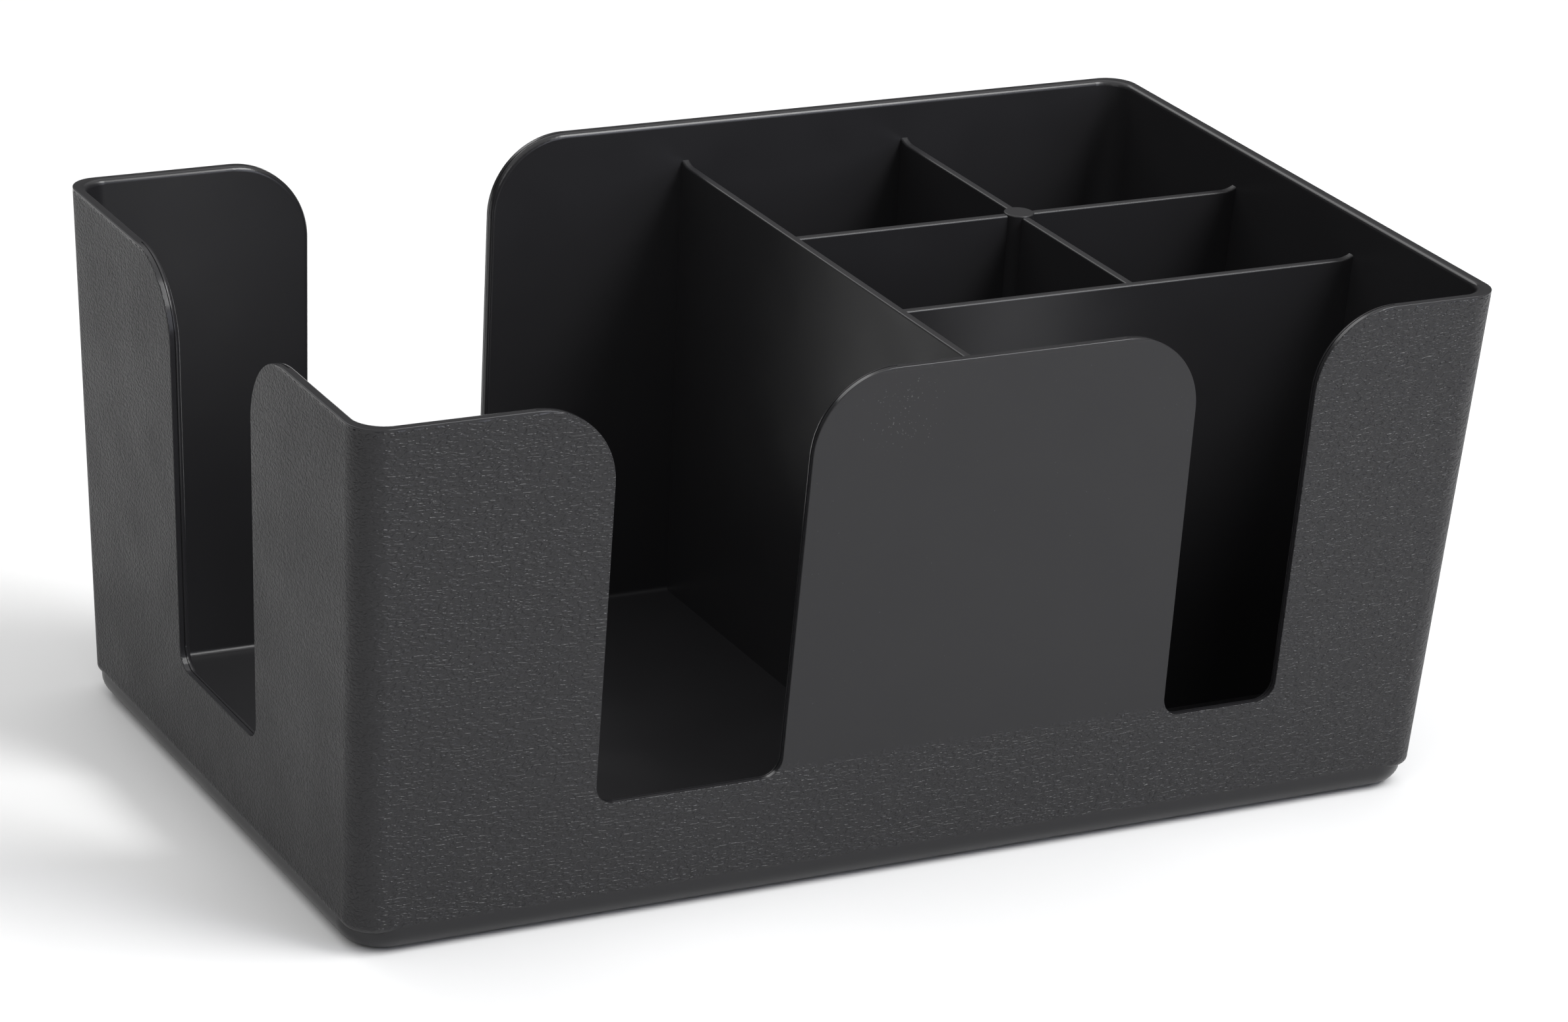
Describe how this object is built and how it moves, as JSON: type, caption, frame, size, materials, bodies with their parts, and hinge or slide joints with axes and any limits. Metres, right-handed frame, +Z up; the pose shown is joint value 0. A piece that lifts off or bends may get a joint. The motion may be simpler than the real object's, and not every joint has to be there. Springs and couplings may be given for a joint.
{
  "type": "desk organizer",
  "caption": "Black moulded desk caddy with a slotted large compartment, a long front compartment and small rear compartments behind low dividers.",
  "frame": {"origin": "centre of the footprint on the surface that the caddy stands on", "axes": "+Z up, +X along the length towards the small compartments, +Y towards the closed back wall"},
  "size_m": [0.2412, 0.147, 0.106],
  "materials": {
    "grained_shell": "black moulded plastic, fine leather grain outside, smooth satin inside",
    "smooth_divider": "black moulded plastic, smooth satin"
  },
  "bodies": {
    "root": {"base_tray": "grained_shell", "front_left_corner": "grained_shell", "rear_left_corner": "grained_shell", "front_centre_panel": "grained_shell", "front_right_panel": "grained_shell", "right_end_wall": "grained_shell", "back_wall": "grained_shell", "partition_wall": "smooth_divider", "front_divider": "smooth_divider", "divider_hub": "smooth_divider", "rear_divider_left": "smooth_divider", "rear_divider_right": "smooth_divider", "cross_divider_front": "smooth_divider", "cross_divider_rear": "smooth_divider"}
  },
  "joints": []
}
